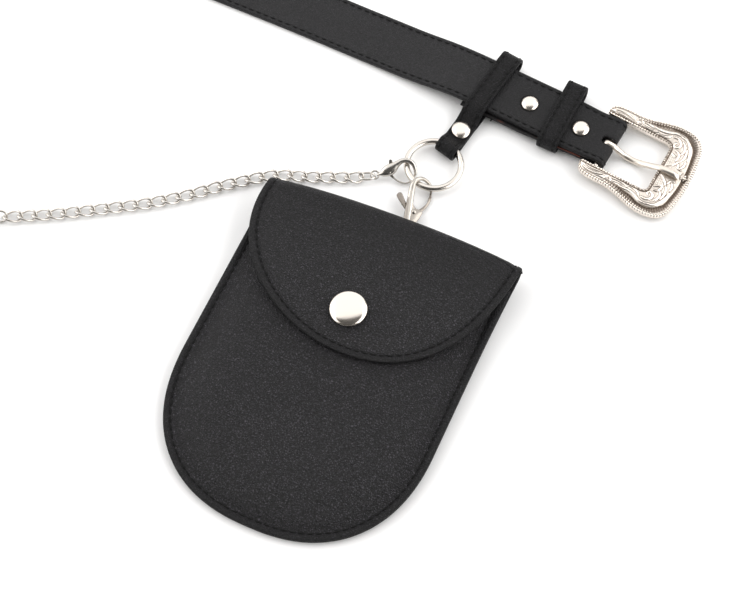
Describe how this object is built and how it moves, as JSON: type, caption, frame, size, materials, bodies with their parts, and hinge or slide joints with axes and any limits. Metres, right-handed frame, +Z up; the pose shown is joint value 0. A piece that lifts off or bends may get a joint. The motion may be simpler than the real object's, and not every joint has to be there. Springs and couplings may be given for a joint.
{
  "type": "waist bag",
  "caption": "Small leather waist pouch with a snap flap, hung by a trigger hook and an O-ring from a western buckled belt, with a curb chain and lobster clasp.",
  "frame": {"origin": "centre of the bounding box at its base, on the surface that the bag lies on", "axes": "+X along the belt towards the buckle, +Y from the pouch towards the belt, +Z up out of the pouch's front"},
  "size_m": [0.2826, 0.244, 0.0161],
  "materials": {
    "pebbled_leather": "black, fine pebble grain, soft sheen",
    "belt_leather": "black, smooth with a fine crease grain, satin",
    "bright_nickel": "polished warm nickel dome",
    "chain_nickel": "polished nickel plate",
    "buckle_silver": "antiqued silver plate, engraved, polished ridges"
  },
  "bodies": {
    "bag": {"pouch_back_and_flap": "pebbled_leather", "pouch_front": "pebbled_leather", "pouch_tab": "belt_leather", "belt_strap": "belt_leather", "belt_buckle_end": "belt_leather", "hanger_loop": "belt_leather", "keeper_loop": "belt_leather", "snap_cap": "bright_nickel", "snap_stud": "bright_nickel", "hanger_rivet": "bright_nickel", "belt_rivet_1": "bright_nickel", "belt_rivet_2": "bright_nickel", "pouch_hook_body": "chain_nickel", "o_ring": "chain_nickel", "chain_clasp_body": "chain_nickel", "chain_end_clasp": "chain_nickel", "chain_link_01": "chain_nickel", "chain_link_02": "chain_nickel", "chain_link_03": "chain_nickel", "chain_link_04": "chain_nickel", "chain_link_05": "chain_nickel", "chain_link_06": "chain_nickel", "chain_link_07": "chain_nickel", "chain_link_08": "chain_nickel", "chain_link_09": "chain_nickel", "chain_link_10": "chain_nickel", "chain_link_11": "chain_nickel", "chain_link_12": "chain_nickel", "chain_link_13": "chain_nickel", "chain_link_14": "chain_nickel", "chain_link_15": "chain_nickel", "chain_link_16": "chain_nickel", "chain_link_17": "chain_nickel", "chain_link_18": "chain_nickel", "chain_link_19": "chain_nickel", "chain_link_20": "chain_nickel", "chain_link_21": "chain_nickel", "chain_link_22": "chain_nickel", "chain_link_23": "chain_nickel", "chain_link_24": "chain_nickel", "chain_link_25": "chain_nickel", "chain_link_26": "chain_nickel", "chain_link_27": "chain_nickel"},
    "pouch_hook_lever": {"pouch_hook_lever": "chain_nickel"},
    "chain_clasp_lever": {"chain_clasp_lever": "chain_nickel"},
    "buckle_frame": {"buckle_frame": "buckle_silver"},
    "buckle_prong": {"buckle_prong": "buckle_silver"}
  },
  "joints": [
    {"name": "buckle_frame_hinge", "type": "hinge", "parent": "bag", "child": "buckle_frame", "pos_m": [0.10231, 0.09592, 0.00405], "axis": [-0.0993, -0.9951, 0], "range_deg": [-15, 30]},
    {"name": "buckle_prong_hinge", "type": "hinge", "parent": "buckle_frame", "child": "buckle_prong", "pos_m": [0.10231, 0.09592, 0.00405], "axis": [-0.0993, -0.9951, 0], "range_deg": [0, 65]},
    {"name": "pouch_hook_trigger", "type": "hinge", "parent": "bag", "child": "pouch_hook_lever", "pos_m": [0.03843, 0.03038, 0.00407], "axis": [0.2528, 0.0556, 0.9659], "range_deg": [0, 8], "stiffness_Nm_per_rad": 0.0002, "springref_deg": -17.19},
    {"name": "chain_clasp_trigger", "type": "hinge", "parent": "bag", "child": "chain_clasp_lever", "pos_m": [0.02093, 0.04451, 0.00351], "axis": [0.231, -0.5092, 0.829], "range_deg": [0, 4], "stiffness_Nm_per_rad": 0.0001, "springref_deg": -17.19}
  ]
}
